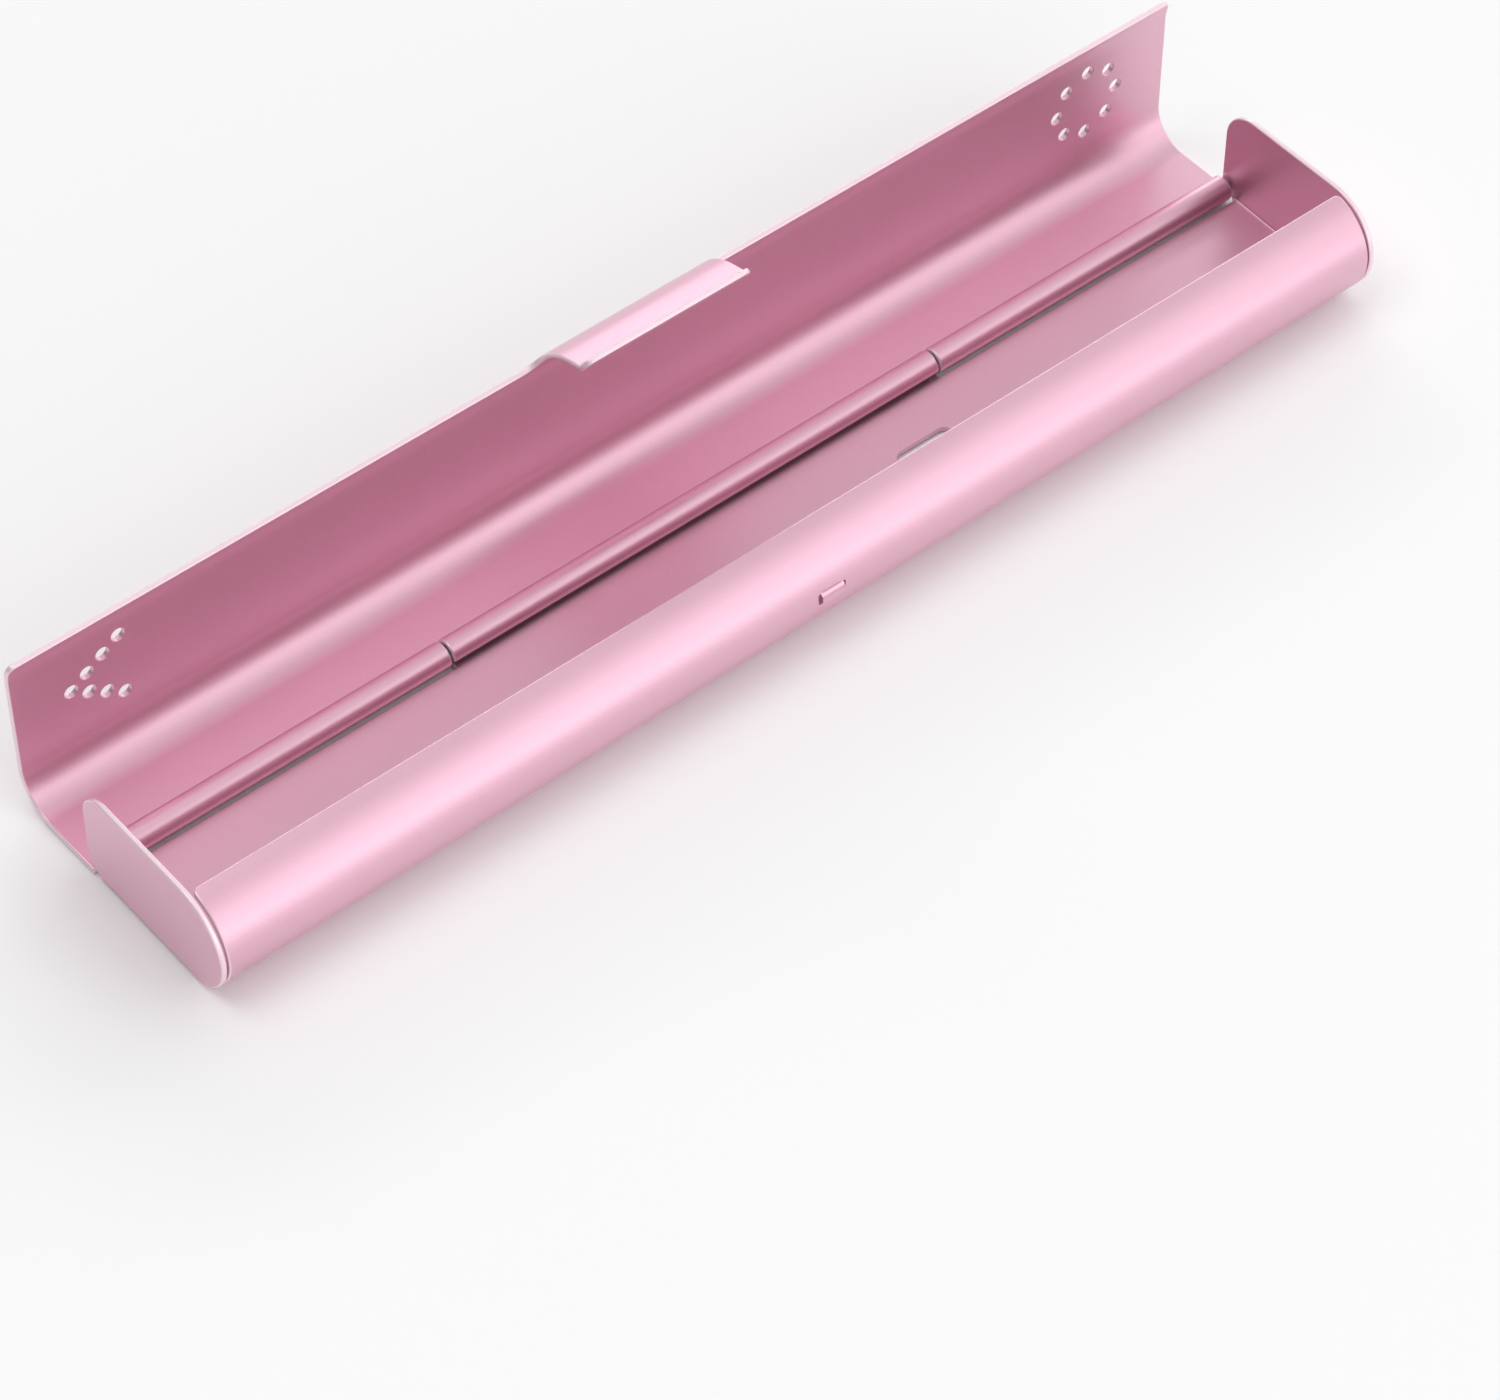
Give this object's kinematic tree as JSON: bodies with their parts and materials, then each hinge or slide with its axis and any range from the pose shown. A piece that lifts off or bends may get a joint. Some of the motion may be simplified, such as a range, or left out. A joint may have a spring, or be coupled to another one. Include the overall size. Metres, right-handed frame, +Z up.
{
  "type": "travel toothbrush case",
  "caption": "Slim folded-sheet aluminium case for a toothbrush: a tray with a rounded front and end flaps, and a lid on a rolled hinge with a snap tab and drilled vents.",
  "frame": {"origin": "middle of the tray's flat underside, on the surface the case lies on", "axes": "+X along the case towards the ring of vents, +Y from the rounded front towards the hinge, +Z up"},
  "size_m": [0.2108, 0.0485, 0.0368],
  "materials": {
    "anodised_sheet": "satin, bead-blasted and anodised pink",
    "pin_steel": "plain drawn wire"
  },
  "bodies": {
    "tray": {"base_tray": "anodised_sheet", "hinge_pin": "pin_steel"},
    "cover": {"lid": "anodised_sheet"}
  },
  "joints": [
    {"name": "lid_hinge", "type": "hinge", "parent": "tray", "child": "cover", "pos_m": [0, 0.015, 0.0021], "axis": [1, 0, 0], "range_deg": [0, 90]}
  ]
}
